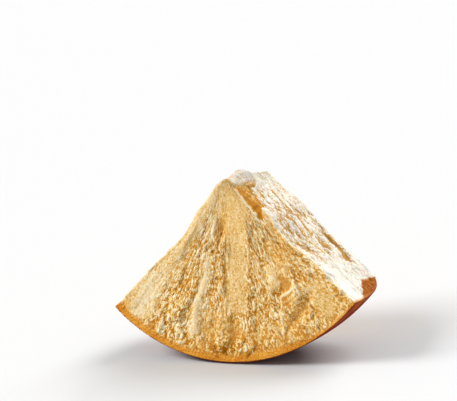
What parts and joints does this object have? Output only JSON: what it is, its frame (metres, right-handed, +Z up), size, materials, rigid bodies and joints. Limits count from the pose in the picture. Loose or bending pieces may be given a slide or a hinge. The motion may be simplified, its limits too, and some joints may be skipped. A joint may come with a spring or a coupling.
{
  "type": "aged hard cheese wedge",
  "caption": "Large wedge of aged hard cheese broken out of a wheel, standing on its curved rind with rough crumbly broken faces, used as a food prop.",
  "frame": {"origin": "middle of the small flat on the barrel rind that the wedge stands on, straight below the apex edge", "axes": "+Z up from the flat to the apex, +X to the right facing the broken front, +Y from the broken front to the flat rind"},
  "size_m": [0.3221, 0.1533, 0.2196],
  "materials": {
    "cheese_paste": "matt, rough and crumbly broken cheese, straw gold, with a brown rind on the foot and a golden rind on the back"
  },
  "bodies": {
    "root": {"cheese_wedge": "cheese_paste"}
  },
  "joints": []
}
